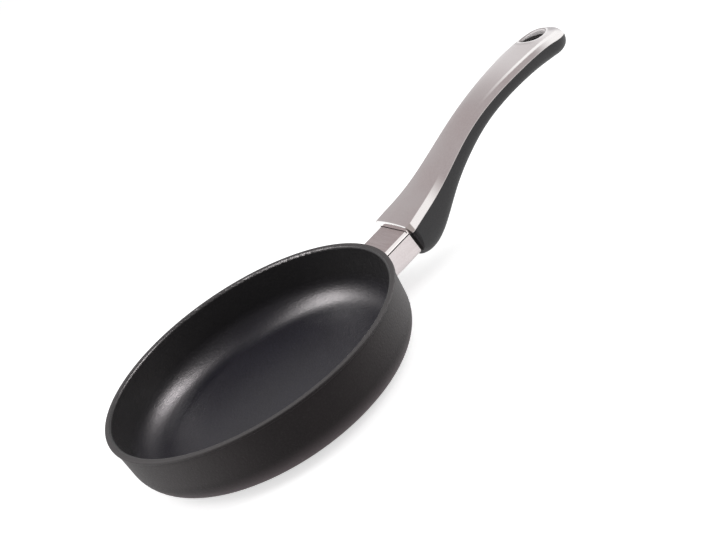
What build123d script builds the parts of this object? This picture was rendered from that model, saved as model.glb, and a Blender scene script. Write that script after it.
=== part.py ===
"""An omelette pan: a cast bowl with a lug, a sheathed neck and a screwed two-material handle.

Millimetres and degrees. The origin is the middle of the base, on the surface the pan stands on.
+X runs out along the handle, +Z is up.
"""
import os
from math import cos, radians, sin

from build123d import *

# The cast bowl
RIM_RADIUS = 100.0
PAN_HEIGHT = 41.5
LIP_OUT = 1.2
LIP_HEIGHT = 2.8
LIP_ROUND = 0.7
WALL_DRAFT = 2.2
OUTER_CORNER = 20.7
RIM_WIDTH = 4.3
RIM_OUTER_ROUND = 0.9
RIM_INNER_ROUND = 1.6
WALL_THICKNESS = 4.2
FLOOR_THICKNESS = 5.0
INNER_CORNER = 18.0

# The neck: a cast lug inside a bent steel sheath, with a plate on top
NECK_LENGTH = 20.0
NECK_DROP = 2.6
NECK_TILT = 6.5
NECK_WIDTH = 31.4
NECK_HEIGHT = 17.7
SHEATH_THICKNESS = 1.2
SHEATH_CORNER = 2.4
PLATE_THICKNESS = 2.0
PLATE_BEVEL = 1.3
PLATE_GROOVE = 0.8
PLATE_TUCK = 1.5
PEG_DIAMETER = 3.0
PEG_LENGTH = 3.0
PEG_SHARES = (0.3, 0.75)
WALL_CLEARANCE = 0.2
LUG_ROUND = 1.0
SPACER_THICKNESS = 1.5
SPACER_INSET = 0.4

# The line of the handle, from the lip of the steel cap to the middle of the rounded tip
LIP_RISE = 3.5
HANDLE_REACH = 154.5
HANDLE_RISE = 36.2
FRONT_WIDTH = 42.4
WAIST_WIDTH = 26.2
TIP_WIDTH = 32.6
GRIP_DEPTH = 14.5
BELLY_DEPTH = 30.6

# Stations along that line: how far along, how far up, and how much of the front width, of the tip
# width and of the belly each one has
STATION_SHARES = (
    (0.000, 0.000, 1.00, 0.00, 0.74),
    (0.072, 0.075, 0.78, 0.00, 1.00),
    (0.161, 0.174, 0.53, 0.00, 0.73),
    (0.272, 0.345, 0.28, 0.00, 0.32),
    (0.395, 0.563, 0.05, 0.00, 0.15),
    (0.524, 0.753, 0.00, 0.00, 0.05),
    (0.654, 0.881, 0.00, 0.30, 0.00),
    (0.782, 0.961, 0.00, 0.76, 0.00),
    (0.900, 1.000, 0.00, 1.00, 0.04),
    (1.000, 0.980, 0.00, 1.00, 0.04),
)

# How far each station's section leans back, in degrees
STATION_LEANS = (NECK_TILT, 9.0, 14.0, 18.0, 20.0, 18.0, 13.0, 7.0, 1.0, -8.0)

# The steel cap
SHEET = 1.0
FRONT_CAP_HEIGHT = 4.7
TIP_CAP_HEIGHT = 3.7
BAND_RUN = 2.4
FRONT_RIDGE_ROUND = 1.3
TIP_RIDGE_ROUND = 7.0
FRONT_CROWN = 1.2
TIP_CROWN = 4.0
LIP_DROP = 3.0
LIP_OVERHANG = 2.0
LIP_CORNER = 3.5
LIP_EDGE = 1.0

# The grip
GRIP_WALL = 3.0
GRIP_FRONT_WALL = 4.0
GRIP_BULGE = 1.2
SIDE_FULLNESS_SHARE = 0.78
BOTTOM_FULLNESS_SHARE = 0.66
UPSTAND_HEIGHT = 2.2
UPSTAND_WALL = 2.0
FIT = 0.2

# The hanging hole, near the tip
HOLE_LENGTH = 17.0
HOLE_WIDTH = 16.0
HOLE_SETBACK = 4.2
COLLAR_DEPTH = 2.0
COLLAR_WALL = 2.0
FLARE = 1.4

# The tang: a bent steel strip, bolted to the lug and clamped between grip and cap
TANG_WIDTH = 12.0
TANG_THICKNESS = 2.5
TANG_DEPTH = 6.6
TANG_BEND = 2.5
TANG_END_STATION = 6
FOOT_WIDTH = 26.0
FOOT_TOP = 2.5
FOOT_BOTTOM = 15.3

# Fasteners
INSERT_DIAMETER = 8.0
INSERT_LENGTH = 12.0
BOLT_DIAMETER = 5.0
BOLT_SPACING = 15.0
BOLT_DROP = 10.5
BOLT_LENGTH = 15.0
BOLT_HEAD_DIAMETER = 8.5
BOLT_HEAD_HEIGHT = 3.4
BOLT_SOCKET = 4.0
BOLT_WASHER_DIAMETER = 9.2
WASHER_THICKNESS = 0.9
SCREW_DIAMETER = 4.0
SCREW_REACH = 5.0
SCREW_HEAD_DIAMETER = 7.0
SCREW_HEAD_HEIGHT = 2.2
SCREW_SOCKET = 2.5
SCREW_RECESS = 5.0
SCREW_RECESS_DIAMETER = 8.4
SCREW_WASHER_DIAMETER = 8.0
BOSS_DIAMETER = 11.0
STANDOFF_DIAMETER = 7.0
STANDOFF_BORE = 6.0
THREAD_GAP = 0.05
SCREW_STATIONS = (2, 5)

# Cuts run past what they cut by this much
OVERRUN = 1.0

# Worked out from the sizes above
wall_top_radius = RIM_RADIUS - LIP_OUT
wall_foot_radius = wall_top_radius - WALL_DRAFT
inner_top_radius = RIM_RADIUS - RIM_WIDTH
inner_foot_radius = wall_foot_radius - WALL_THICKNESS
lug_width = NECK_WIDTH - 2 * SHEATH_THICKNESS
lug_height = NECK_HEIGHT - PLATE_THICKNESS - SHEATH_THICKNESS
neck_reach = RIM_RADIUS + NECK_LENGTH
neck_root = neck_reach - wall_foot_radius
neck_frame = Pos(neck_reach, 0, PAN_HEIGHT - NECK_DROP) * Rot(0, -NECK_TILT, 0)
handle_front = neck_frame * Pos(SPACER_THICKNESS, 0, LIP_RISE)


def box_between(x_range, y_range, z_range):
    """A box from its lowest to its highest corner."""
    size = [high - low for low, high in (x_range, y_range, z_range)]
    middle = [(high + low) / 2 for low, high in (x_range, y_range, z_range)]
    return Pos(*middle) * Box(*size)


def rod(radius, low, high):
    """An upright cylinder between two heights."""
    return Pos(0, 0, low) * extrude(Circle(radius), high - low)


def bolt_rod(radius, start, end, side):
    """A cylinder on the line of a bolt, from start to end along the neck."""
    return neck_frame * Pos(0, side, -BOLT_DROP) * Rot(0, 90, 0) * rod(radius, start, end)


def bolt_sides():
    """How far to each side of the neck's middle the two bolts sit."""
    return (-BOLT_SPACING / 2, BOLT_SPACING / 2)


# The bowl


def corner_fillet(profile, corner, radius):
    """Rounds the one corner of a flat profile that lies nearest to a point."""
    nearest = profile.vertices().sort_by_distance(Vector(corner[0], corner[1], 0))[0]
    return fillet(nearest, radius)


def outer_profile(clearance=0.0):
    """The outside of the bowl as a solid outline, from the axis to the rim."""
    foot = (wall_foot_radius + clearance, 0)
    under_lip = (wall_top_radius + clearance, PAN_HEIGHT - LIP_HEIGHT)
    lip_low = (RIM_RADIUS + clearance, PAN_HEIGHT - LIP_HEIGHT + LIP_OUT)
    lip_high = (RIM_RADIUS + clearance, PAN_HEIGHT)
    outline = Polyline((0, 0), foot, under_lip, lip_low, lip_high, (0, PAN_HEIGHT), close=True)
    profile = make_face(outline)
    profile = corner_fillet(profile, foot, OUTER_CORNER)
    profile = corner_fillet(profile, lip_low, LIP_ROUND)
    return corner_fillet(profile, lip_high, RIM_OUTER_ROUND)


def inner_profile():
    """The room inside the bowl, from the axis to the inner wall and its rounded rim."""
    floor_corner = (inner_foot_radius, FLOOR_THICKNESS)
    rim_corner = (inner_top_radius, PAN_HEIGHT)
    mouth = (RIM_RADIUS, PAN_HEIGHT)
    over = PAN_HEIGHT + OVERRUN
    top = ((RIM_RADIUS, over), (0, over))
    profile = make_face(Polyline((0, FLOOR_THICKNESS), floor_corner, rim_corner, mouth, *top, close=True))
    profile = corner_fillet(profile, floor_corner, INNER_CORNER)
    return corner_fillet(profile, rim_corner, RIM_INNER_ROUND)


def turned(profile):
    """A profile turned about the bowl's axis."""
    return revolve(Plane.XZ * profile, Axis.Z, 360)


def lug():
    """The cast block that stands out of the wall and carries the handle."""
    wide = (-lug_width / 2, lug_width / 2)
    high = (-PLATE_THICKNESS - lug_height, -PLATE_THICKNESS)
    block = box_between((-neck_root, 0), wide, high)
    block = fillet(block.edges().filter_by(Axis.X).group_by(Axis.Z)[0], LUG_ROUND)
    return neck_frame * block


def pegs(clearance=0.0):
    """The two pegs under the top plate, or the holes for them in the lug."""
    shapes = []
    for share in PEG_SHARES:
        place = Pos(-NECK_LENGTH * share, 0, -PLATE_THICKNESS)
        peg = rod(PEG_DIAMETER / 2 + clearance, -PEG_LENGTH - clearance, clearance)
        shapes.append(neck_frame * place * peg)
    return shapes


def pan_body():
    """The bowl and its lug in one casting, with bores for the threaded inserts."""
    room = turned(inner_profile())
    body = turned(outer_profile()) + (lug() - room)
    body -= room
    for side in bolt_sides():
        body -= bolt_rod(INSERT_DIAMETER / 2, -INSERT_LENGTH, OVERRUN, side)
    for peg in pegs(THREAD_GAP):
        body -= peg
    return body


def lug_inserts():
    """Two threaded steel inserts in the end of the lug."""
    inserts = []
    for side in bolt_sides():
        insert = bolt_rod(INSERT_DIAMETER / 2, -INSERT_LENGTH, 0, side)
        insert -= bolt_rod(BOLT_DIAMETER / 2 + THREAD_GAP, -INSERT_LENGTH - OVERRUN, OVERRUN, side)
        inserts.append(insert)
    return inserts


# The neck


def wall_envelope():
    """All that the bowl's outside takes up, with the clearance of the sheath round it."""
    return turned(outer_profile(WALL_CLEARANCE))


def neck_shell():
    """The bent sheath: a U of sheet steel under and beside the lug."""
    half = NECK_WIDTH / 2
    wide = (-half, half)
    high = (-NECK_HEIGHT, -PLATE_THICKNESS - PLATE_GROOVE)
    outside = box_between((-neck_root, 0), wide, high)
    outside = fillet(outside.edges().filter_by(Axis.X).group_by(Axis.Z)[0], SHEATH_CORNER)
    inside = box_between(
        (-neck_root - OVERRUN, OVERRUN),
        (-lug_width / 2, lug_width / 2),
        (-NECK_HEIGHT + SHEATH_THICKNESS, 0),
    )
    inside = fillet(inside.edges().filter_by(Axis.X).group_by(Axis.Z)[0], LUG_ROUND)
    return neck_frame * (outside - inside) - wall_envelope()


def neck_top_plate():
    """The plate on the lug, bevelled along both sides, with two pegs under it."""
    half = NECK_WIDTH / 2
    reach = SPACER_THICKNESS + PLATE_TUCK
    plate = box_between((-neck_root, reach), (-half, half), (-PLATE_THICKNESS, 0))
    plate = chamfer(plate.edges().filter_by(Axis.X).group_by(Axis.Z)[-1], PLATE_BEVEL)
    plate = neck_frame * plate - wall_envelope()
    for peg in pegs():
        plate += peg
    return plate


def heat_spacer():
    """The pad that keeps the hot lug and sheath off the grip."""
    half = NECK_WIDTH / 2 - SPACER_INSET
    pad = box_between((0, SPACER_THICKNESS), (-half, half), (SPACER_INSET - NECK_HEIGHT, -PLATE_THICKNESS))
    pad = neck_frame * pad
    for side in bolt_sides():
        pad -= bolt_rod(BOLT_DIAMETER / 2 + FIT, -OVERRUN, SPACER_THICKNESS + OVERRUN, side)
    return pad


# The line of the handle


class Station:
    """One section of the handle: its plane, half width, crown and depth."""

    def __init__(self, index):
        along, up, front, tip, belly = STATION_SHARES[index]
        lean = radians(STATION_LEANS[index])
        start = handle_front.position
        origin = (start.X + HANDLE_REACH * along, 0, start.Z + HANDLE_RISE * up)
        self.plane = Plane(origin=origin, x_dir=(0, 1, 0), z_dir=(cos(lean), 0, sin(lean)))
        width = WAIST_WIDTH + (FRONT_WIDTH - WAIST_WIDTH) * front + (TIP_WIDTH - WAIST_WIDTH) * tip
        self.half_width = width / 2
        self.crown = FRONT_CROWN + (TIP_CROWN - FRONT_CROWN) * along**2
        self.cap_height = FRONT_CAP_HEIGHT + (TIP_CAP_HEIGHT - FRONT_CAP_HEIGHT) * along
        self.ridge_round = FRONT_RIDGE_ROUND + (TIP_RIDGE_ROUND - FRONT_RIDGE_ROUND) * along
        self.depth = GRIP_DEPTH + (BELLY_DEPTH - GRIP_DEPTH) * belly

    def frame(self):
        """The station's own axes: X across the handle, Y up out of its top, Z along it."""
        return self.plane.location

    def upright(self, height):
        """A place on the handle's middle line, with Z up out of the handle's top."""
        return self.frame() * Pos(0, height, 0) * Rot(-90, 0, 0)


stations = [Station(index) for index in range(len(STATION_SHARES))]


def cap_outside(station):
    """The section of the cap's outside: a crowned top over two sloping bands."""
    ridge = station.half_width - BAND_RUN
    top = ThreePointArc((-ridge, 0), (0, station.crown), (ridge, 0))
    rest = Polyline(
        (ridge, 0), (station.half_width, -station.cap_height), (-station.half_width, -station.cap_height), (-ridge, 0)
    )
    face = make_face(Curve() + [top, rest])
    return fillet(face.vertices().group_by(Axis.Y)[-1], station.ridge_round)


def cap_inside(station):
    """The room under the cap's sheet, run past its lower edge."""
    ridge = station.half_width - BAND_RUN - SHEET / 2
    foot = station.half_width - SHEET
    top = ThreePointArc((-ridge, -SHEET), (0, station.crown - SHEET), (ridge, -SHEET))
    rest = Polyline(
        (ridge, -SHEET),
        (foot, -station.cap_height),
        (foot, -station.cap_height - OVERRUN),
        (-foot, -station.cap_height - OVERRUN),
        (-foot, -station.cap_height),
        (-ridge, -SHEET),
    )
    return make_face(Curve() + [top, rest])


def rounded_section(half_width, top, bottom, bulge):
    """A section with a flat top and a full round bottom."""
    drop = top - bottom
    side = (half_width + bulge, top - SIDE_FULLNESS_SHARE * drop)
    under = (BOTTOM_FULLNESS_SHARE * half_width, bottom)
    right = Bezier((half_width, top), side, under, (0, bottom))
    left = Bezier((0, bottom), (-under[0], under[1]), (-side[0], side[1]), (-half_width, top))
    return make_face(Curve() + [right, left, Line((-half_width, top), (half_width, top))])


def grip_outside(station):
    """The section of the grip below the cap's lower edge."""
    return rounded_section(station.half_width, -station.cap_height, -station.depth, GRIP_BULGE)


def grip_trough(station):
    """The hollow inside the grip, open at its top."""
    half_width = station.half_width - SHEET - FIT - UPSTAND_WALL - band_inset(station, UPSTAND_HEIGHT)
    return rounded_section(half_width, UPSTAND_HEIGHT + OVERRUN - station.cap_height, -station.depth + GRIP_WALL, 0)


def band_inset(station, height):
    """How far the sloping band draws in over a height above the cap's lower edge."""
    return BAND_RUN * height / station.cap_height


def grip_upstand(station):
    """The raised part of the grip that the cap slips over."""
    foot = station.half_width - SHEET - FIT
    head = foot - band_inset(station, UPSTAND_HEIGHT)
    seam = -station.cap_height
    right = ((foot, seam - OVERRUN), (foot, seam), (head, seam + UPSTAND_HEIGHT))
    left = ((-head, seam + UPSTAND_HEIGHT), (-foot, seam), (-foot, seam - OVERRUN))
    return make_face(Polyline(*right, *left, close=True))


def handle_form(section):
    """A section carried along all stations and turned round the tip."""
    faces = [station.plane * section(station) for station in stations]
    tip = stations[-1]
    left_half = section(tip) & Pos(-tip.half_width, 0) * Rectangle(2 * tip.half_width, 4 * tip.depth)
    axis = Axis(tip.plane.origin, tip.plane.y_dir)
    rounded_end = revolve(tip.plane * left_half, axis, 180)
    return loft(faces) + rounded_end


def front_plan(inset, overhang=0.0):
    """The handle's plan with its rounded front corners, drawn in by a wall and run forward, as a deep block."""
    length = 2 * HANDLE_REACH
    outline = RectangleRounded(length, FRONT_WIDTH - 2 * inset, LIP_CORNER - inset)
    block = extrude(outline, HANDLE_REACH, both=True)
    return handle_front * Pos(length / 2 + inset - overhang, 0, 0) * block


def screw_stations():
    """The stations that carry a screw."""
    return [stations[index] for index in SCREW_STATIONS]


# The hanging hole


def hole_place():
    """The middle of the hole at the height of the ridge line, with Z up out of the handle."""
    return stations[-1].upright(0) * Pos(0, HOLE_SETBACK, 0)


def hole_prism(grow, low, high):
    """The oblong of the hole, grown by a margin, between two heights over the tip's ridge line."""
    outline = SlotOverall(HOLE_LENGTH + 2 * grow, HOLE_WIDTH + 2 * grow, rotation=90)
    return hole_place() * Pos(0, 0, low) * extrude(outline, high - low)


# The cap


def lip_edge(shape):
    """The top edge of the cap's flat front end."""
    front = shape.faces().sort_by(Axis.X)[0]
    return front.edges().sort_by(Axis.Z)[-1]


def pierced(shape, tool):
    """A shape cut by an upright tool, with the edge that the tool leaves in its top flared."""
    cut = shape - tool
    fresh = new_edges(shape, tool, combined=cut)
    return fillet(fresh.filter_by(lambda edge: edge.center().Z > hole_place().position.Z), FLARE)


def cap_form(section, inset):
    """A section of the cap carried along the handle, and forward of the grip by the lip's overhang."""
    front = stations[0]
    overhang = extrude(front.plane * section(front), -2 * LIP_OVERHANG)
    return (handle_form(section) + overhang) & front_plan(inset, LIP_OVERHANG)


def handle_top_cap():
    """The steel cap: a pressed shell with a lip over the neck and a collar through the hanging hole."""
    top = TIP_CROWN + OVERRUN
    outside = cap_form(cap_outside, 0)
    outside = fillet(lip_edge(outside), LIP_EDGE)
    outside = pierced(outside, hole_prism(0, -COLLAR_DEPTH, top))
    room = cap_form(cap_inside, SHEET)
    cap = outside - (room - hole_prism(COLLAR_WALL, -COLLAR_DEPTH, top))
    half = NECK_WIDTH / 2 + FIT
    along = (-LIP_OVERHANG, SPACER_THICKNESS + 2 * SHEET)
    arch = box_between(along, (-half, half), (-NECK_HEIGHT, LIP_RISE - LIP_DROP))
    return cap - neck_frame * arch


# The grip


def grip_boss(station):
    """The post inside the grip that carries the tang at a screw."""
    top = -TANG_DEPTH - TANG_THICKNESS / 2
    post = station.upright(0) * rod(BOSS_DIAMETER / 2, -station.depth - OVERRUN, top)
    return post - tang_strip()


def grip():
    """The plastic grip: a trough under the cap, with a notch for the neck and a post for each screw."""
    outside = handle_form(grip_outside)
    front_wall = Plane(handle_front * Pos(GRIP_FRONT_WALL, 0, 0) * Rot(0, 90, 0))
    trough = split(handle_form(grip_trough), front_wall, keep=Keep.TOP)
    trough = split(trough, stations[-2].plane, keep=Keep.BOTTOM)
    body = outside & front_plan(0)
    body += handle_form(grip_upstand) & front_plan(SHEET + FIT)
    body -= trough
    for station in screw_stations():
        body += grip_boss(station) & outside
        body -= station.upright(0) * rod(SCREW_DIAMETER / 2 + FIT, -station.depth - OVERRUN, 0)
        recess = rod(SCREW_RECESS_DIAMETER / 2, -station.depth - OVERRUN, SCREW_RECESS - station.depth)
        body -= station.upright(0) * recess
    body -= neck_frame * neck_notch()
    body -= hole_prism(COLLAR_WALL + FIT, -COLLAR_DEPTH - FIT, TIP_CROWN)
    return body - hole_prism(0, -2 * GRIP_DEPTH, 0)


def neck_notch():
    """Room in the grip's front for the end of the top plate and for the foot of the tang."""
    start = SPACER_THICKNESS - OVERRUN
    plate_half = NECK_WIDTH / 2 + FIT
    plate_end = SPACER_THICKNESS + PLATE_TUCK + FIT
    plate_room = box_between((start, plate_end), (-plate_half, plate_half), (-PLATE_THICKNESS - FIT, LIP_RISE))
    foot_half = FOOT_WIDTH / 2 + FIT
    foot_end = SPACER_THICKNESS + GRIP_FRONT_WALL + OVERRUN
    return plate_room + box_between((start, foot_end), (-foot_half, foot_half), (-FOOT_BOTTOM - FIT, LIP_RISE))


# The tang and the fasteners


def tang_line(depth):
    """Points along the tang at a depth under the ridge line, from its first to its last station."""
    return [station.upright(-depth).position for station in stations[1:TANG_END_STATION + 1]]


def tang_strip():
    """The strip of the tang, bent to the line of the handle."""
    start = SPACER_THICKNESS
    corner = (neck_frame * Pos(start, 0, -FOOT_TOP)).position
    under = (neck_frame * Pos(start, 0, -FOOT_TOP - TANG_THICKNESS)).position
    top = Spline(corner, *tang_line(TANG_DEPTH))
    bottom = Spline(under, *tang_line(TANG_DEPTH + TANG_THICKNESS))
    ends = [Line(corner, under), Line(top @ 1, bottom @ 1)]
    return extrude(make_face(Curve() + [top, bottom] + ends), TANG_WIDTH / 2, both=True)


def handle_tang():
    """The bent steel strip, with a broad foot bolted to the lug."""
    start = SPACER_THICKNESS
    half = FOOT_WIDTH / 2
    foot = box_between((start, start + TANG_THICKNESS), (-half, half), (-FOOT_BOTTOM, -FOOT_TOP - TANG_BEND))
    web_top = -FOOT_TOP - TANG_THICKNESS / 2
    web = box_between((start, start + TANG_THICKNESS), (-TANG_WIDTH / 2, TANG_WIDTH / 2), (-FOOT_BOTTOM, web_top))
    tang = tang_strip() + neck_frame * (foot + web)
    for side in bolt_sides():
        tang -= bolt_rod(BOLT_DIAMETER / 2 + FIT, 0, start + TANG_THICKNESS + OVERRUN, side)
    for station in screw_stations():
        tang -= station.upright(-TANG_DEPTH) * rod(SCREW_DIAMETER / 2 + FIT, -2 * TANG_THICKNESS, TANG_THICKNESS)
    return tang


def hexagon_socket(across, depth):
    """A hexagonal hole that reaches down by a depth from zero."""
    return Pos(0, 0, -depth) * extrude(RegularPolygon(across / 2, 6, major_radius=False), depth + OVERRUN)


def tang_bolts():
    """The two bolts that hold the tang's foot to the lug."""
    seat = SPACER_THICKNESS + TANG_THICKNESS + WASHER_THICKNESS
    bolts = []
    for side in bolt_sides():
        bolt = bolt_rod(BOLT_DIAMETER / 2, seat - BOLT_LENGTH, seat, side)
        bolt += bolt_rod(BOLT_HEAD_DIAMETER / 2, seat, seat + BOLT_HEAD_HEIGHT, side)
        head_top = neck_frame * Pos(seat + BOLT_HEAD_HEIGHT, side, -BOLT_DROP) * Rot(0, 90, 0)
        bolts.append(bolt - head_top * hexagon_socket(BOLT_SOCKET, BOLT_HEAD_HEIGHT / 2))
    return bolts


def tang_washers():
    """A washer under the head of each tang bolt."""
    start = SPACER_THICKNESS + TANG_THICKNESS
    end = start + WASHER_THICKNESS
    return [
        bolt_rod(BOLT_WASHER_DIAMETER / 2, start, end, side)
        - bolt_rod(BOLT_DIAMETER / 2 + FIT, start - OVERRUN, end + OVERRUN, side)
        for side in bolt_sides()
    ]


def cap_standoffs():
    """Threaded posts welded inside the cap, which the handle screws pull down on the tang."""
    inside = handle_form(cap_inside)
    posts = []
    for station in screw_stations():
        middle = -station.cap_height / 2
        post = (station.upright(0) * rod(STANDOFF_DIAMETER / 2, middle, station.crown)) & inside
        post += station.upright(0) * rod(STANDOFF_DIAMETER / 2, -TANG_DEPTH - TANG_THICKNESS / 2, middle)
        bore = rod(SCREW_DIAMETER / 2 + THREAD_GAP, -TANG_DEPTH - TANG_THICKNESS, STANDOFF_BORE - TANG_DEPTH)
        posts.append(post - station.upright(0) * bore - tang_strip())
    return posts


def handle_screws():
    """The screws that come up through the grip and the tang into the posts of the cap."""
    screws = []
    for station in screw_stations():
        seat = SCREW_RECESS - station.depth - WASHER_THICKNESS
        screw = rod(SCREW_DIAMETER / 2, seat, SCREW_REACH - TANG_DEPTH)
        screw += rod(SCREW_HEAD_DIAMETER / 2, seat - SCREW_HEAD_HEIGHT, seat)
        socket = Rot(180, 0, 0) * hexagon_socket(SCREW_SOCKET, SCREW_HEAD_HEIGHT / 2)
        screws.append(station.upright(0) * (screw - Pos(0, 0, seat - SCREW_HEAD_HEIGHT) * socket))
    return screws


def handle_washers():
    """A washer over the head of each handle screw."""
    washers = []
    for station in screw_stations():
        top = SCREW_RECESS - station.depth
        washer = rod(SCREW_WASHER_DIAMETER / 2, top - WASHER_THICKNESS, top)
        washer -= rod(SCREW_DIAMETER / 2 + FIT, top - WASHER_THICKNESS - OVERRUN, top + OVERRUN)
        washers.append(station.upright(0) * washer)
    return washers


# Each sub-part and the function that makes it

NODES = {
    "pan_body": pan_body,
    "lug_inserts": lug_inserts,
    "neck_shell": neck_shell,
    "neck_top_plate": neck_top_plate,
    "heat_spacer": heat_spacer,
    "handle_tang": handle_tang,
    "tang_bolts": tang_bolts,
    "tang_washers": tang_washers,
    "grip": grip,
    "handle_top_cap": handle_top_cap,
    "cap_standoffs": cap_standoffs,
    "handle_screws": handle_screws,
    "handle_washers": handle_washers,
}

os.makedirs("parts", exist_ok=True)
for name, make in NODES.items():
    shape = make()
    if isinstance(shape, list):
        shape = Compound(children=shape)
    export_step(shape, f"parts/{name}.step")
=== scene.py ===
"""The looks of an omelette pan: a cast bowl with a dark coating, a steel neck, a steel cap and a black grip.

Metres. The origin is the middle of the base, +X runs out along the handle, +Z is up.
"""
from math import cos, pi, radians, sin

import bpy
from mathutils import Matrix, Vector


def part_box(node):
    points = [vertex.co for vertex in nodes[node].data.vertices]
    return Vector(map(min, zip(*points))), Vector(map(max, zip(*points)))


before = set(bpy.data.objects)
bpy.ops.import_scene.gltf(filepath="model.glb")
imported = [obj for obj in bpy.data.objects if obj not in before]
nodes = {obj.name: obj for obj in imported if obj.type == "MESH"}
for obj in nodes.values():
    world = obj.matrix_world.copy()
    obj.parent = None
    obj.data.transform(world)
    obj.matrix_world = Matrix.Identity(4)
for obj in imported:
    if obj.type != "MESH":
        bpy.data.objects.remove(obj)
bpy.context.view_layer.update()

# The photograph's view: where the rim's middle lies in the picture, and how the pan is turned in it
IMAGE_WIDTH = 716
IMAGE_HEIGHT = 540
FOCAL_PIXELS = 1400.0
RIM_PIXEL_X = 246.96
RIM_PIXEL_Y = 345.66
RIM_DISTANCE = 0.83543
VIEW_AZIMUTH = radians(20.0)
VIEW_ELEVATION = radians(23.548)
VIEW_ROLL = radians(31.702)
SENSOR_WIDTH = 36.0
CLIP_START = 0.01

# The floor, which lies just under the base
FLOOR_GAP = 0.0002
FLOOR_HALF = 4.0
FLOOR_ALBEDO = 0.82
FLOOR_GLOW = 0.62

# How strongly the surroundings light what isn't a mirror
AMBIENT = 0.4

# The lamps: how far off, how large, how bright next to white, and how far turned, in degrees
KEY_DISTANCE = 1.7
KEY_SIZE = (1.1, 1.1)
KEY_RADIANCE = 2.6
SHINE_DISTANCE = 1.3
SHINE_ROLL = -29
STRIP_ELEVATION = 0.9
STRIP_SIZE = (0.9, 0.034)

# Grain sizes, as cycles in a metre
FINE_GRAIN = 2600.0
SPECKLE = 950.0
GRIT = 650.0
COARSE_GRAIN = 260.0
CLOUDS = 22.0
STREAKS = 900.0

# Where noise turns from one tone to the other
CLOUD_RANGE = (0.3, 0.7)
SPECKLE_RANGE = (0.46, 0.70)
SPECK_RANGE = (0.35, 0.65)
FIBRE_RANGE = (0.45, 0.70)

# The bowl's inside, where its coating is blacker: the ring that its rounded corner turns about
INNER_RING_RADIUS = 0.0751
INNER_RING_HEIGHT = 0.0230
SKIN_RADIUS = 0.0195
SKIN_SOFTNESS = 0.0002
FLOOR_HEIGHT = 0.0050
WALL_DRAFT = 0.07

# Heights on the bowl: where the inside turns paler, where the outside's foot turns darker, and the rim
INSIDE_BLEND = (0.008, 0.026)
BASE_EDGE_BLEND = (0.002, 0.018)
RIM_BLEND = (0.0403, 0.0411)

# Places along the handle: where the cap's painted highlights and painted shade begin and end
BAND_HIGHLIGHT_BLEND = (0.140, 0.162)
CAP_TIP_BLEND = (0.205, 0.250)
TIP_BAND_BLEND = (0.256, 0.276)
HOLE_END_BLEND = (0.262, 0.284)
TIP_SHADE_BLEND = (-0.012, -0.007)

# How far a surface faces up, aside, to the bowl or to the tip, for each painted highlight, reflection and
# shade of the steel
TOP_FACING = (0.78, 0.90)
SIDE_FACING = (0.80, 0.88)
CORNER_FACING = (0.80, 0.90)
RIDGE_FACING = (0.60, 0.70)
BAND_FACING = (0.45, 0.75)
TIP_FACING = (0.12, 0.36)
LIP_FACING = (0.30, 0.55)
BEVEL_FACING = (0.35, 0.60)

# The cap's lip, with its painted highlight, and the corner beside it, with its painted dark reflection
LIP_HALF = 0.0176
LIP_HALF_SOFTNESS = 0.0006
LIP_BLEND = (0.1295, 0.1315)
CORNER_BLEND = (0.1228, 0.1236)

# The hanging hole: its middle and axis, the radii of its painted highlight, shade and shadow zones and of
# the grip's painted shade in the bore, and how soft each one's edge is
HOLE_X = 0.2720
HOLE_STRAIGHT = 0.0005
HOLE_AXIS = (0.139, 0.0, 0.990)
# Painted shadow: a soft dark patch on the top before the hole
PAINTED_SHADOW_RADIUS = 0.0122
PAINTED_SHADOW_SOFTNESS = 0.0012
PAINTED_SHADOW_BLEND = (0.262, 0.266)
MOUTH_RADIUS = 0.0102
MOUTH_SOFTNESS = 0.0008
# Radius of the painted shade line in the hole's mouth
SHADE_LINE_RADIUS = 0.0091
THROAT_RADIUS = 0.0083
THROAT_SOFTNESS = 0.0002
# Where the hole's wall turns from painted shade below to painted light above
WALL_SHADE_BLEND = (0.11507, 0.11567)
BORE_RADIUS = 0.0095
BORE_SOFTNESS = 0.0003

# The coating's colours, as linear values; pairs are the darker and the lighter tone of its clouds
INSIDE_LOW_TONES = ((0.0024, 0.0022, 0.0070, 1), (0.0044, 0.0040, 0.0100, 1))
INSIDE_HIGH_TONES = ((0.0125, 0.0120, 0.0128, 1), (0.0165, 0.0160, 0.0168, 1))
OUTSIDE_TONES = ((0.0062, 0.0048, 0.0052, 1), (0.0102, 0.0078, 0.0083, 1))
BASE_EDGE_TONE = (0.125, 0.100, 0.107, 1)
SPECKLE_TONE = (0.020, 0.018, 0.018, 1)
RIM_TONE = (0.012, 0.011, 0.012, 1)
WORN_COATING_TONE = (0.10, 0.094, 0.092, 1)
COATING_SPECULAR = 0.17
COATING_SPECULAR_TINT = (1.0, 0.935, 0.94, 1)

# The steel's colours
# Painted highlight: the cap's top paler toward the tip
TOP_HIGHLIGHT_TONE = (0.70, 0.66, 0.66, 1)
# Painted highlight: the top by the hole's end and the ring round the hole's mouth
HOLE_HIGHLIGHT_TONE = (0.90, 0.87, 0.87, 1)
# Painted highlight on the cap's side bands near the bowl
BAND_HIGHLIGHT_TONE = (0.88, 0.84, 0.83, 1)
# Painted highlight on the sides of the cap's tip
TIP_SIDE_HIGHLIGHT_TONE = (0.93, 0.90, 0.89, 1)
# Painted highlight along the cap's ridge toward the tip
RIDGE_HIGHLIGHT_TONE = (0.95, 0.92, 0.91, 1)
# Painted dark reflection: a grey streak on one side of the cap's far end
TIP_SHADE_TONE = (0.46, 0.43, 0.44, 1)
# Painted shadow before the hanging hole
PAINTED_SHADOW_TONE = (0.36, 0.33, 0.33, 1)
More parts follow.
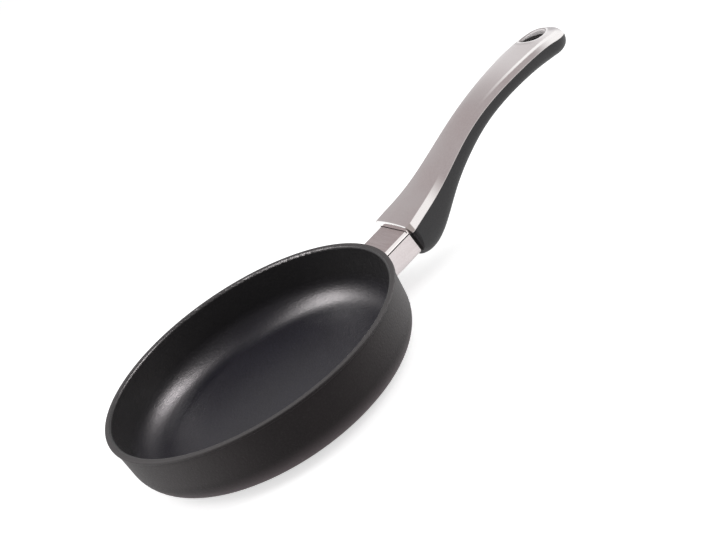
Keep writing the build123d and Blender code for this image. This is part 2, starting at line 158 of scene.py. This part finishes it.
# Painted shade: the dark line in the hole's mouth
MOUTH_SHADE_LINE_TONE = (0.33, 0.295, 0.295, 1)
# Painted shade on the lower hole wall and painted light on the upper
WALL_SHADE_TONE = (0.12, 0.11, 0.11, 1)
WALL_LIT_TONE = (0.84, 0.81, 0.81, 1)
# Painted dark reflection on the corners beside the lip
CORNER_DARK_REFLECTION_TONE = (0.27, 0.225, 0.21, 1)
# Painted highlight along the cap's lip
LIP_HIGHLIGHT_TONE = (1.0, 0.98, 0.97, 1)
# Edges of the steel: partly real polish, partly painted highlight
EDGE_POLISH_AND_HIGHLIGHT_TONE = (0.80, 0.76, 0.75, 1)
# The plate's bevels: partly real polish, partly painted highlight
BEVEL_POLISH_AND_HIGHLIGHT_TONE = (0.90, 0.85, 0.84, 1)

# The plastics' colours
GRIP_TONES = ((0.0165, 0.0155, 0.0168, 1), (0.0230, 0.0218, 0.0232, 1))
PIT_TONE = (0.034, 0.033, 0.0345, 1)
# Painted shade in the bore through the grip's tip
BORE_SHADE_TONE = (0.003, 0.003, 0.003, 1)
WORN_GRIP_TONE = (0.07, 0.068, 0.068, 1)
SPACER_TONES = ((0.012, 0.011, 0.011, 1), (0.035, 0.032, 0.030, 1))
GRIP_SPECULAR = 0.4


# The camera, the floor and the light


def place_camera():
    """The camera of the photograph."""
    turn = Matrix.Rotation(-VIEW_AZIMUTH, 3, "Z")
    tilt = Matrix.Rotation(radians(90) - VIEW_ELEVATION, 3, "X")
    roll = Matrix.Rotation(-VIEW_ROLL, 3, "Z")
    rotation = turn @ tilt @ roll
    across = (RIM_PIXEL_X - IMAGE_WIDTH / 2) / FOCAL_PIXELS * RIM_DISTANCE
    down = (RIM_PIXEL_Y - IMAGE_HEIGHT / 2) / FOCAL_PIXELS * RIM_DISTANCE
    rim_middle = Vector((0, 0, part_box("pan_body")[1].z))
    place = rim_middle - rotation @ Vector((across, -down, -RIM_DISTANCE))
    data = bpy.data.cameras.new("photo_camera")
    data.sensor_width = SENSOR_WIDTH
    data.lens = FOCAL_PIXELS / IMAGE_WIDTH * SENSOR_WIDTH
    data.clip_start = CLIP_START
    camera = bpy.data.objects.new("photo_camera", data)
    camera.matrix_world = Matrix.Translation(place) @ rotation.to_4x4()
    bpy.context.scene.collection.objects.link(camera)
    bpy.context.scene.camera = camera


def soft_box(name, azimuth, elevation, distance, size, radiance, roll=0.0):
    """A square or oblong lamp that looks at the pan from a direction, with a brightness next to white."""
    data = bpy.data.lights.new(name, "AREA")
    data.shape = "RECTANGLE"
    data.size, data.size_y = size
    data.energy = radiance * pi * data.size * data.size_y
    level = cos(radians(elevation))
    across, away = level * cos(radians(azimuth)), level * sin(radians(azimuth))
    direction = Vector((across, away, sin(radians(elevation))))
    lamp = bpy.data.objects.new(name, data)
    lamp.location = direction * distance
    facing_pan = direction.to_track_quat("Z", "Y").to_matrix()
    lamp.rotation_euler = (facing_pan @ Matrix.Rotation(radians(roll), 3, "Z")).to_euler()
    bpy.context.scene.collection.objects.link(lamp)
    return lamp


def key_light(name, azimuth, elevation):
    """A lamp that lights what it falls on and doesn't shine back from it."""
    soft_box(name, azimuth, elevation, KEY_DISTANCE, KEY_SIZE, KEY_RADIANCE).visible_glossy = False


def shine(name, azimuth, elevation, size, radiance, node_names, roll=0.0):
    """A lamp that shows only as a shine, and only on some nodes."""
    lamp = soft_box(name, azimuth, elevation, SHINE_DISTANCE, size, radiance, roll)
    lamp.visible_diffuse = False
    lit = bpy.data.collections.new(name)
    for node_name in node_names:
        lit.objects.link(nodes[node_name])
    lamp.light_linking.receiver_collection = lit


def seen_directly(tree):
    """1 for a ray from the camera or from a mirror or glass, and 0 for one that only lights a surface."""
    path = tree.nodes.new("ShaderNodeLightPath")
    either = math_node(tree, "MAXIMUM", path.outputs["Is Camera Ray"], path.outputs["Is Glossy Ray"])
    return math_node(tree, "MAXIMUM", either, path.outputs["Is Transmission Ray"])


def light_world():
    """White behind everything, and a plainer light on what stands in it."""
    world = bpy.data.worlds.new("studio")
    bpy.context.scene.world = world
    world.use_nodes = True
    tree = world.node_tree
    background = tree.nodes["Background"]
    background.inputs["Color"].default_value = (1, 1, 1, 1)
    strength = tree.nodes.new("ShaderNodeMapRange")
    strength.inputs["To Min"].default_value = AMBIENT
    strength.inputs["To Max"].default_value = 1.0
    tree.links.new(seen_directly(tree), strength.inputs["Value"])
    tree.links.new(strength.outputs["Result"], background.inputs["Strength"])


def lay_floor():
    """A plain white floor that keeps the pan's shadow."""
    mesh = bpy.data.meshes.new("floor")
    half = FLOOR_HALF
    corners = [(-half, -half, 0), (half, -half, 0), (half, half, 0), (-half, half, 0)]
    mesh.from_pydata(corners, [], [(0, 1, 2, 3)])
    floor = bpy.data.objects.new("floor", mesh)
    floor.location.z = -FLOOR_GAP
    bpy.context.scene.collection.objects.link(floor)
    material = bpy.data.materials.new("floor_white")
    material.use_nodes = True
    tree = material.node_tree
    tree.nodes.clear()
    output = tree.nodes.new("ShaderNodeOutputMaterial")
    diffuse = tree.nodes.new("ShaderNodeBsdfDiffuse")
    diffuse.inputs["Color"].default_value = (FLOOR_ALBEDO, FLOOR_ALBEDO, FLOOR_ALBEDO, 1)
    glow = tree.nodes.new("ShaderNodeEmission")
    scaled = math_node(tree, "MULTIPLY", seen_directly(tree), FLOOR_GLOW)
    tree.links.new(scaled, glow.inputs["Strength"])
    both = tree.nodes.new("ShaderNodeAddShader")
    tree.links.new(diffuse.outputs[0], both.inputs[0])
    tree.links.new(glow.outputs[0], both.inputs[1])
    tree.links.new(both.outputs[0], output.inputs["Surface"])
    mesh.materials.append(material)


# Building blocks of the materials


def feed(tree, socket, value):
    """Gives a socket a value or another node's output."""
    if isinstance(value, bpy.types.NodeSocket):
        tree.links.new(value, socket)
    else:
        socket.default_value = value


def math_node(tree, operation, first, second=0.0):
    """One sum on one or two values."""
    node = tree.nodes.new("ShaderNodeMath")
    node.operation = operation
    feed(tree, node.inputs[0], first)
    feed(tree, node.inputs[1], second)
    return node.outputs[0]


def position(tree):
    """Where a point of the surface is, in the object's own frame."""
    return tree.nodes.new("ShaderNodeTexCoord").outputs["Object"]


def surface_normal(tree):
    """The surface's direction in the object's own frame."""
    return tree.nodes.new("ShaderNodeTexCoord").outputs["Normal"]


def split(tree, vector):
    """The three parts of a vector."""
    node = tree.nodes.new("ShaderNodeSeparateXYZ")
    tree.links.new(vector, node.inputs[0])
    return node.outputs


def stretched(tree, vector, scale):
    """A vector with each part scaled, for noise that runs in streaks."""
    node = tree.nodes.new("ShaderNodeMapping")
    tree.links.new(vector, node.inputs["Vector"])
    node.inputs["Scale"].default_value = scale
    return node.outputs[0]


def noise(tree, vector, scale, detail, roughness):
    """Smooth noise from 0 to 1, with a middle of one half."""
    node = tree.nodes.new("ShaderNodeTexNoise")
    tree.links.new(vector, node.inputs["Vector"])
    node.inputs["Scale"].default_value = scale
    node.inputs["Detail"].default_value = detail
    node.inputs["Roughness"].default_value = roughness
    return node.outputs["Fac"]


def ranged(tree, value, low, high, to_low=0.0, to_high=1.0):
    """A value carried smoothly from one range to another."""
    node = tree.nodes.new("ShaderNodeMapRange")
    node.interpolation_type = "SMOOTHSTEP"
    tree.links.new(value, node.inputs["Value"])
    node.inputs["From Min"].default_value = low
    node.inputs["From Max"].default_value = high
    feed(tree, node.inputs["To Min"], to_low)
    feed(tree, node.inputs["To Max"], to_high)
    return node.outputs["Result"]


def mixed(tree, share, first, second):
    """A colour between two, by a share."""
    node = tree.nodes.new("ShaderNodeMix")
    node.data_type = "RGBA"
    feed(tree, node.inputs["Factor"], share)
    feed(tree, node.inputs["A"], first)
    feed(tree, node.inputs["B"], second)
    return node.outputs["Result"]


def blended(tree, share, first, second):
    """A number between two, by a share."""
    node = tree.nodes.new("ShaderNodeMix")
    feed(tree, node.inputs["Factor"], share)
    feed(tree, node.inputs[2], first)
    feed(tree, node.inputs[3], second)
    return node.outputs[0]


def bumped(tree, height, strength, distance, under=None):
    """A surface normal roughened by a height."""
    node = tree.nodes.new("ShaderNodeBump")
    node.inputs["Strength"].default_value = strength
    node.inputs["Distance"].default_value = distance
    tree.links.new(height, node.inputs["Height"])
    if under is not None:
        tree.links.new(under, node.inputs["Normal"])
    return node.outputs[0]


def edge_mask(tree, reach, low, high):
    """1 along sharp edges and 0 on open faces: how far the rounded normal turns from the true one."""
    bevel = tree.nodes.new("ShaderNodeBevel")
    bevel.inputs["Radius"].default_value = reach
    geometry = tree.nodes.new("ShaderNodeNewGeometry")
    dot = tree.nodes.new("ShaderNodeVectorMath")
    dot.operation = "DOT_PRODUCT"
    tree.links.new(bevel.outputs[0], dot.inputs[0])
    tree.links.new(geometry.outputs["Normal"], dot.inputs[1])
    turned = math_node(tree, "SUBTRACT", 1.0, dot.outputs["Value"])
    return ranged(tree, turned, low, high)


def new_material(name):
    """An empty material with one principled shader."""
    material = bpy.data.materials.new(name)
    material.use_nodes = True
    tree = material.node_tree
    return material, tree, tree.nodes["Principled BSDF"]


# The materials


def squared(tree, value):
    """A value times itself."""
    return math_node(tree, "MULTIPLY", value, value)


def distance(tree, first, second):
    """How long a step is that goes one way and then the other."""
    return math_node(tree, "SQRT", math_node(tree, "ADD", squared(tree, first), squared(tree, second)))


def dotted(tree, vector, direction):
    """How far a vector reaches along a direction."""
    node = tree.nodes.new("ShaderNodeVectorMath")
    node.operation = "DOT_PRODUCT"
    tree.links.new(vector, node.inputs[0])
    node.inputs[1].default_value = direction
    return node.outputs["Value"]


def facing(tree, direction):
    """How much the surface faces a direction, from 0 to 1."""
    return math_node(tree, "MAXIMUM", dotted(tree, surface_normal(tree), direction), 0.0)


def sideways(tree):
    """How much the surface faces either side of the handle."""
    return math_node(tree, "ABSOLUTE", split(tree, surface_normal(tree))[1])


def falling(tree, value, low, high):
    """1 below a range of a value, 0 above it, and smooth between."""
    return ranged(tree, value, low, high, 1.0, 0.0)


def weakened(tree, mask, share):
    """A mask that reaches only a share of 1."""
    return math_node(tree, "MULTIPLY", mask, share)


def product(tree, *masks):
    """Where all of some masks are 1."""
    result = masks[0]
    for mask in masks[1:]:
        result = math_node(tree, "MULTIPLY", result, mask)
    return result


def bowl_outside(tree, x, y, z):
    """1 on the bowl's outside and underside and 0 inside, by the distance from the inner corner's ring."""
    draft = math_node(tree, "MULTIPLY", math_node(tree, "SUBTRACT", z, FLOOR_HEIGHT), WALL_DRAFT)
    radius = math_node(tree, "SUBTRACT", distance(tree, x, y), draft)
    beyond = math_node(tree, "MAXIMUM", math_node(tree, "SUBTRACT", radius, INNER_RING_RADIUS), 0.0)
    below = math_node(tree, "MINIMUM", math_node(tree, "SUBTRACT", z, INNER_RING_HEIGHT), 0.0)
    apart = distance(tree, beyond, below)
    return ranged(tree, apart, SKIN_RADIUS - SKIN_SOFTNESS, SKIN_RADIUS + SKIN_SOFTNESS)


def coating_color(tree, place, outside, speckle, rim):
    """The coating's colour: blacker low inside, warmer outside, with a paler foot, rim and worn edges."""
    z = split(tree, place)[2]
    clouds = ranged(tree, noise(tree, place, CLOUDS, 4.0, 0.55), *CLOUD_RANGE)
    low = mixed(tree, clouds, *INSIDE_LOW_TONES)
    high = mixed(tree, clouds, *INSIDE_HIGH_TONES)
    inner = mixed(tree, ranged(tree, z, *INSIDE_BLEND), low, high)
    wall = mixed(tree, clouds, *OUTSIDE_TONES)
    outer = mixed(tree, falling(tree, z, *BASE_EDGE_BLEND), wall, BASE_EDGE_TONE)
    both = mixed(tree, outside, inner, outer)
    grainy = mixed(tree, weakened(tree, speckle, 0.3), both, SPECKLE_TONE)
    rimmed = mixed(tree, weakened(tree, rim, 0.5), grainy, RIM_TONE)
    worn = edge_mask(tree, 0.0006, 0.03, 0.25)
    return mixed(tree, weakened(tree, worn, 0.25), rimmed, WORN_COATING_TONE)


def coating_relief(tree, place):
    """The coating's surface: a fine grain on grit on slow waves."""
    fine = bumped(tree, noise(tree, place, FINE_GRAIN, 2.0, 0.6), 0.22, 0.00012)
    gritty = bumped(tree, noise(tree, place, GRIT, 2.0, 0.6), 0.90, 0.00016, fine)
    return bumped(tree, noise(tree, place, COARSE_GRAIN, 3.0, 0.5), 0.06, 0.0004, gritty)


def pan_coating():
    """The bowl: a near-black satin coating inside, a warmer charcoal one outside, both finely speckled."""
    material, tree, shader = new_material("pan_coating")
    place = position(tree)
    x, y, z = split(tree, place)
    outside = bowl_outside(tree, x, y, z)
    speckle = ranged(tree, noise(tree, place, SPECKLE, 3.0, 0.7), *SPECKLE_RANGE)
    rim = ranged(tree, z, *RIM_BLEND)
    tree.links.new(coating_color(tree, place, outside, speckle, rim), shader.inputs["Base Color"])
    inside_gloss = blended(tree, speckle, 0.41, 0.29)
    outside_gloss = blended(tree, rim, blended(tree, speckle, 0.62, 0.52), 0.80)
    tree.links.new(blended(tree, outside, inside_gloss, outside_gloss), shader.inputs["Roughness"])
    shader.inputs["Specular IOR Level"].default_value = COATING_SPECULAR
    shader.inputs["Specular Tint"].default_value = COATING_SPECULAR_TINT
    tree.links.new(coating_relief(tree, place), shader.inputs["Normal"])
    return material


class Steel:
    """One stainless steel: a satin face with cloudy tone and fine grain, and edges painted paler, partly as
    polish and partly as painted highlight.
    """

    def __init__(self, name, tone, rose, gloss):
        self.material, self.tree, self.shader = new_material(name)
        self.tone = tone
        self.rose = rose
        self.place = position(self.tree)
        tree = self.tree
        self.grain = noise(tree, self.place, FINE_GRAIN, 2.0, 0.6)
        clouds = ranged(tree, noise(tree, self.place, CLOUDS * 1.5, 4.0, 0.5), *CLOUD_RANGE)
        specks = ranged(tree, noise(tree, self.place, SPECKLE, 2.0, 0.6), *SPECK_RANGE)
        face = mixed(tree, clouds, self.tint(0.94), self.tint(1.05, 0.7))
        self.color = mixed(tree, weakened(tree, specks, 0.5), face, self.tint(1.10, 0.8))
        self.roughness = blended(tree, ranged(tree, self.grain, *SPECK_RANGE), gloss - 0.05, gloss + 0.05)
        self.relief = self.grain

    def tint(self, share, rose_share=1.0):
        """The steel's tone times a share, leaning to rose by a share of its usual lean."""
        tone = self.tone * share
        return (min(tone * (1 + self.rose * rose_share), 1.0), min(tone, 1.0), min(tone, 1.0), 1)

    def brush(self, scale, depth):
        """Brushed lines, drawn out along the short parts of a scale."""
        tree = self.tree
        streaks = noise(tree, stretched(tree, self.place, scale), STREAKS, 3.0, 0.6)
        lines = ranged(tree, streaks, *SPECK_RANGE)
        self.color = mixed(tree, weakened(tree, lines, depth), self.color, self.tint(0.62, 1.3))
        self.relief = blended(tree, 0.6, self.grain, lines)

    def zone(self, mask, color, roughness):
        """Another colour and roughness where a mask is 1; the colours given to it are mostly painted
        highlights, reflections and shade.
        """
        self.color = mixed(self.tree, mask, self.color, color)
        self.roughness = blended(self.tree, mask, self.roughness, roughness)

    def finish(self, edge_color, edge_strength):
        """Paints the edges paler, partly as polish and partly as painted highlight, and joins everything to
        the shader.
        """
        tree = self.tree
        # Paler edges: partly real polish, partly painted highlight
        edges = weakened(tree, edge_mask(tree, 0.0008, 0.01, 0.12), edge_strength)
        self.zone(edges, edge_color, 0.2)
        tree.links.new(self.color, self.shader.inputs["Base Color"])
        tree.links.new(self.roughness, self.shader.inputs["Roughness"])
        self.shader.inputs["Metallic"].default_value = 1.0
        tree.links.new(bumped(tree, self.relief, 0.25, 0.00006), self.shader.inputs["Normal"])
        return self.material


def cap_top_zones(steel, x, y):
    """The cap's top: painted highlights that pale it toward the tip and by the hole's end, on the front
    bands, the ridge and the tip's sides, and a painted dark reflection on one side of the far end.
    """
    tree = steel.tree
    upward = facing(tree, (0, 0, 1))
    top = ranged(tree, upward, *TOP_FACING)
    to_side = falling(tree, upward, *SIDE_FACING)
    toward_tip = ranged(tree, x, *CAP_TIP_BLEND)
    # Painted highlight: the top pales toward the tip
    steel.zone(product(tree, top, weakened(tree, toward_tip, 0.75)), TOP_HIGHLIGHT_TONE, 0.30)
    # Painted highlight on the top by the hole's end
    steel.zone(product(tree, top, ranged(tree, x, *HOLE_END_BLEND)), HOLE_HIGHLIGHT_TONE, 0.28)

    # Painted highlight on the side bands near the bowl
    band = ranged(tree, sideways(tree), *BAND_FACING)
    steel.zone(product(tree, band, falling(tree, x, *BAND_HIGHLIGHT_BLEND)), BAND_HIGHLIGHT_TONE, 0.26)

    # Painted highlight on the tip's sides
    tip_end = ranged(tree, x, *TIP_BAND_BLEND)
    steel.zone(product(tree, to_side, tip_end), TIP_SIDE_HIGHLIGHT_TONE, 0.24)
    # Painted highlight on the ridge toward the tip
    ridge = product(tree, ranged(tree, upward, *RIDGE_FACING), to_side)
    steel.zone(product(tree, ridge, toward_tip), RIDGE_HIGHLIGHT_TONE, 0.22)

    # Painted dark reflection on one side of the far end
    tipward = ranged(tree, facing(tree, (1, 0, 0)), *TIP_FACING)
    shaded = product(tree, tipward, ranged(tree, y, *TIP_SHADE_BLEND), tip_end)
    steel.zone(shaded, TIP_SHADE_TONE, 0.3)


def cap_hole_zones(steel, x, y):
    """The hanging hole: a painted highlight ring with a painted shade line in it, a painted shadow before
    it, and a wall painted lighter above and darker below as light and shade.
    """
    tree = steel.tree
    along = math_node(tree, "ABSOLUTE", math_node(tree, "SUBTRACT", x, HOLE_X))
    past_straight = math_node(tree, "MAXIMUM", math_node(tree, "SUBTRACT", along, HOLE_STRAIGHT), 0.0)
    reach = distance(tree, past_straight, y)

    def within(radius, softness):
        return falling(tree, reach, radius - softness, radius + softness)

    # Painted shadow: a soft dark patch before the hole
    painted_shadow = product(tree, within(PAINTED_SHADOW_RADIUS, PAINTED_SHADOW_SOFTNESS), falling(tree, x, *PAINTED_SHADOW_BLEND))
    steel.zone(weakened(tree, painted_shadow, 0.45), PAINTED_SHADOW_TONE, 0.3)
    # Painted highlight: a pale ring round the hole's mouth
    steel.zone(within(MOUTH_RADIUS, MOUTH_SOFTNESS), HOLE_HIGHLIGHT_TONE, 0.28)
    # Painted shade: a dark line round the hole's mouth
    steel.zone(within(SHADE_LINE_RADIUS, THROAT_SOFTNESS), MOUTH_SHADE_LINE_TONE, 0.3)
    # Painted light and shade: the hole's wall lighter above, darker below
    light = ranged(tree, dotted(tree, steel.place, HOLE_AXIS), *WALL_SHADE_BLEND)
    wall = mixed(tree, light, WALL_SHADE_TONE, WALL_LIT_TONE)
    steel.zone(within(THROAT_RADIUS, THROAT_SOFTNESS), wall, 0.65)


def cap_lip_zones(steel, x, y):
    """The cap's front: a painted highlight on the lip, with a painted dark reflection on the corner at each
    end of it.
    """
    tree = steel.tree
    aside = math_node(tree, "ABSOLUTE", y)
    middle = falling(tree, aside, LIP_HALF - LIP_HALF_SOFTNESS, LIP_HALF + LIP_HALF_SOFTNESS)
    beside = math_node(tree, "SUBTRACT", 1.0, middle)
    not_top = falling(tree, facing(tree, (0, 0, 1)), *CORNER_FACING)
    # Painted dark reflection on the corner at each end of the lip
    corner = product(tree, beside, falling(tree, x, *CORNER_BLEND), not_top)
    steel.zone(weakened(tree, corner, 0.85), CORNER_DARK_REFLECTION_TONE, 0.3)
    # Painted highlight on the lip's front
    forward = ranged(tree, facing(tree, (-1, 0, 0)), *LIP_FACING)
    steel.zone(product(tree, middle, falling(tree, x, *LIP_BLEND), forward), LIP_HIGHLIGHT_TONE, 0.2)


def cap_steel():
    """The cap: rose-grey satin on top, with painted highlights, painted reflections and painted shade at the
    lip, the tip and the hole.
    """
    steel = Steel("cap_steel", 0.345, 0.17, 0.34)
    x, y = split(steel.tree, steel.place)[:2]
    cap_top_zones(steel, x, y)
    cap_hole_zones(steel, x, y)
    cap_lip_zones(steel, x, y)
    return steel.finish(EDGE_POLISH_AND_HIGHLIGHT_TONE, 0.6)


def neck_plate_steel():
    """The plate on the neck: darker, brushed across, with its bevel down each side painted bright, partly as
    polish and partly as painted highlight.
    """
    steel = Steel("neck_plate_steel", 0.285, 0.25, 0.30)
    steel.brush((1, 0.05, 1), 0.35)
    # Bright bevel: partly polish, partly painted highlight
    steel.zone(ranged(steel.tree, sideways(steel.tree), *BEVEL_FACING), BEVEL_POLISH_AND_HIGHLIGHT_TONE, 0.22)
    return steel.finish(BEVEL_POLISH_AND_HIGHLIGHT_TONE, 0.6)


def neck_steel():
    """The sheath of the neck: pale satin steel, brushed along the neck."""
    steel = Steel("neck_steel", 0.58, 0.10, 0.33)
    steel.brush((0.05, 1, 1), 0.14)
    return steel.finish(EDGE_POLISH_AND_HIGHLIGHT_TONE, 0.7)


def hidden_steel(name, tone, gloss):
    """A plain steel of the parts inside the handle."""
    steel = Steel(name, tone, 0.02, gloss)
    steel.brush((0.1, 1, 1), 0.2)
    return steel.finish(steel.tint(1.4), 0.8)


def grip_plastic():
    """The grip: matte black plastic with a fine leathery grain, and painted shade in the bore through the
    tip.
    """
    material, tree, shader = new_material("grip_plastic")
    place = position(tree)
    clouds = ranged(tree, noise(tree, place, CLOUDS * 2, 4.0, 0.5), *CLOUD_RANGE)
    cells = tree.nodes.new("ShaderNodeTexVoronoi")
    cells.inputs["Scale"].default_value = FINE_GRAIN * 0.5
    tree.links.new(place, cells.inputs["Vector"])
    pits = ranged(tree, cells.outputs["Distance"], 0.0, 0.6)
    grained = mixed(tree, weakened(tree, pits, 0.4), mixed(tree, clouds, *GRIP_TONES), PIT_TONE)
    x, y = split(tree, place)[:2]
    reach = distance(tree, math_node(tree, "SUBTRACT", x, HOLE_X), y)
    # Painted shade: the bore darker than the grip round it
    bore = falling(tree, reach, BORE_RADIUS - BORE_SOFTNESS, BORE_RADIUS + BORE_SOFTNESS)
    bore_shaded = mixed(tree, bore, grained, BORE_SHADE_TONE)
    worn = weakened(tree, edge_mask(tree, 0.0006, 0.02, 0.3), 0.5)
    tree.links.new(mixed(tree, worn, bore_shaded, WORN_GRIP_TONE), shader.inputs["Base Color"])
    tree.links.new(blended(tree, pits, 0.62, 0.50), shader.inputs["Roughness"])
    shader.inputs["Specular IOR Level"].default_value = GRIP_SPECULAR
    tree.links.new(bumped(tree, pits, 0.3, 0.0001), shader.inputs["Normal"])
    return material


def spacer_plastic():
    """The heat pad: dull black plastic with glass fibres in it."""
    material, tree, shader = new_material("spacer_plastic")
    place = position(tree)
    fibres = noise(tree, stretched(tree, place, (1, 4, 1)), FINE_GRAIN * 0.4, 4.0, 0.7)
    tone = mixed(tree, ranged(tree, fibres, *FIBRE_RANGE), *SPACER_TONES)
    tree.links.new(tone, shader.inputs["Base Color"])
    shader.inputs["Roughness"].default_value = 0.7
    tree.links.new(bumped(tree, fibres, 0.3, 0.0001), shader.inputs["Normal"])
    return material


def dress(name, material):
    """Gives a node its material."""
    mesh = nodes[name].data
    mesh.materials.clear()
    mesh.materials.append(material)


def dress_all():
    """Every node's material."""
    dress("pan_body", pan_coating())
    dress("handle_top_cap", cap_steel())
    dress("neck_top_plate", neck_plate_steel())
    dress("neck_shell", neck_steel())
    dress("grip", grip_plastic())
    dress("heat_spacer", spacer_plastic())
    inner = hidden_steel("inner_steel", 0.42, 0.38)
    for name in ("lug_inserts", "handle_tang", "cap_standoffs"):
        dress(name, inner)
    zinc = hidden_steel("fastener_steel", 0.50, 0.28)
    for name in ("tang_bolts", "tang_washers", "handle_screws", "handle_washers"):
        dress(name, zinc)


def light_lamps():
    """A large soft box at each end of the pan, and the shine of both on its coating."""
    key_light("right_box", -30, 45)
    key_light("left_box", 156, 48)
    coated = ["pan_body"]
    shine("right_shine", -13, 45, (0.26, 0.88), 115.0, coated, SHINE_ROLL)
    shine("left_shine", 145, 50, (0.97, 0.20), 124.0, coated, SHINE_ROLL)
    shine("right_strip", 5, STRIP_ELEVATION, STRIP_SIZE, 255.0, coated)
    shine("left_strip", 172, STRIP_ELEVATION, STRIP_SIZE, 270.0, coated)


bpy.context.scene.view_settings.view_transform = "Standard"
place_camera()
light_world()
lay_floor()
light_lamps()
dress_all()
